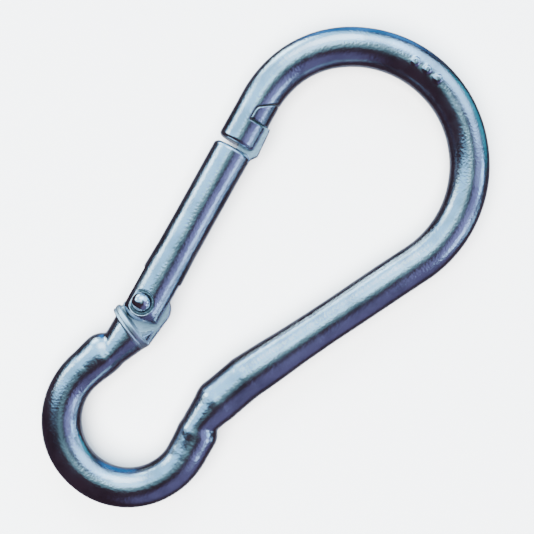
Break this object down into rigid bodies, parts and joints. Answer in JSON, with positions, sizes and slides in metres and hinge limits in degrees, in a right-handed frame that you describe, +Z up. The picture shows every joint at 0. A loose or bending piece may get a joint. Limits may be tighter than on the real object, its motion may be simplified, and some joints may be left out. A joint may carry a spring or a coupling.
{
  "type": "snap hook",
  "caption": "Pear-shaped snap hook bent from round bar, with a small eye, a wide bow and a sprung gate that opens inwards and locks into a slotted claw.",
  "frame": {"origin": "centre of the small eye, in the bar's middle plane", "axes": "+X from the small eye towards the bow, +Y towards the gate's side, +Z up, square to the plane that the hook is bent in"},
  "size_m": [0.1401, 0.0675, 0.0128],
  "materials": {
    "forged_steel": "tumbled and polished stainless steel, faint cast grain",
    "gate_steel": "tumbled and polished stainless steel bar, faint grain",
    "rivet_steel": "bright polished stainless steel",
    "spring_wire": "drawn stainless spring wire"
  },
  "bodies": {
    "hook": {"hook_body": "forged_steel"},
    "gate": {"gate": "gate_steel", "hinge_rivet": "rivet_steel", "gate_spring": "spring_wire"},
    "plunger": {"spring_plunger": "rivet_steel"}
  },
  "joints": [
    {"name": "gate_hinge", "type": "hinge", "parent": "hook", "child": "gate", "pos_m": [0.02406, 0.01737, 0], "axis": [0, 0, -1], "range_deg": [0, 40], "stiffness_Nm_per_rad": 0.2, "springref_deg": -40.11},
    {"name": "plunger_slide", "type": "slide", "parent": "gate", "child": "plunger", "axis": [0.9711, 0.2385, 0], "range_m": [0, 0.0019], "deforming": ["gate_spring"]}
  ],
  "couplings": [
    {"joint": "plunger_slide", "follows": "gate_hinge", "m_per_rad": 0.00268}
  ]
}
